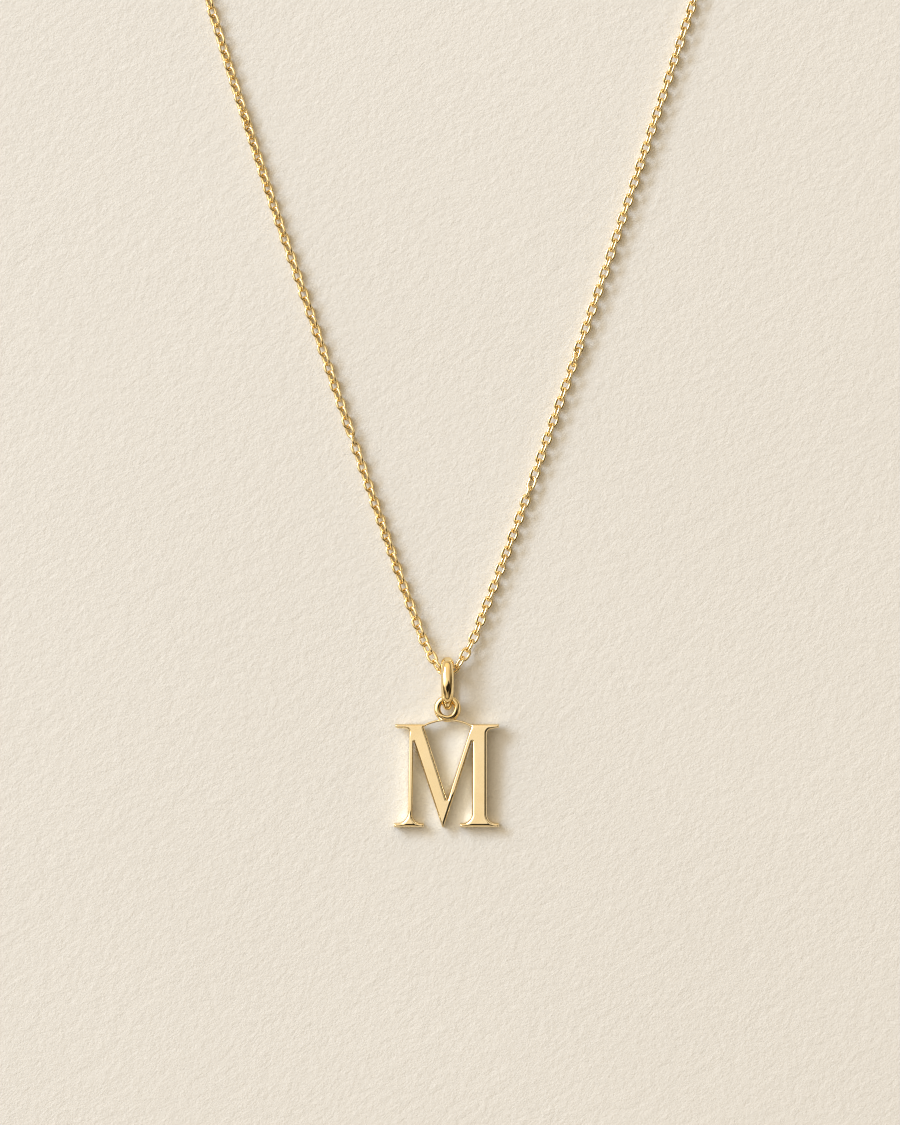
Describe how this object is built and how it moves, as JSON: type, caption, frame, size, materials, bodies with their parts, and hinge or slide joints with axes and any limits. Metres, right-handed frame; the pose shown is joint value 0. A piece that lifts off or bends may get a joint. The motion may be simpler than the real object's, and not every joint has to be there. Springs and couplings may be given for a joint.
{
  "type": "initial pendant necklace",
  "caption": "Gold necklace lying flat: a serif letter charm with a soldered eye ring on a tapered oval bail, on a fine oval cable chain closed by a ring clasp.",
  "frame": {"origin": "on the surface that the necklace lies on, under the middle of its outline", "axes": "+X to the right and +Y up the necklace from the letter to the clasp, as the picture shows it, +Z away from the surface"},
  "size_m": [0.094, 0.2113, 0.0028],
  "materials": {
    "chain_gold": "polished yellow gold wire links",
    "bail_gold": "mirror-polished yellow gold",
    "letter_gold": "polished yellow gold, softly rounded front edges",
    "clasp_gold": "polished yellow gold"
  },
  "bodies": {
    "root": {"chain": "chain_gold", "bail": "bail_gold", "letter": "letter_gold", "clasp": "clasp_gold"}
  },
  "joints": []
}
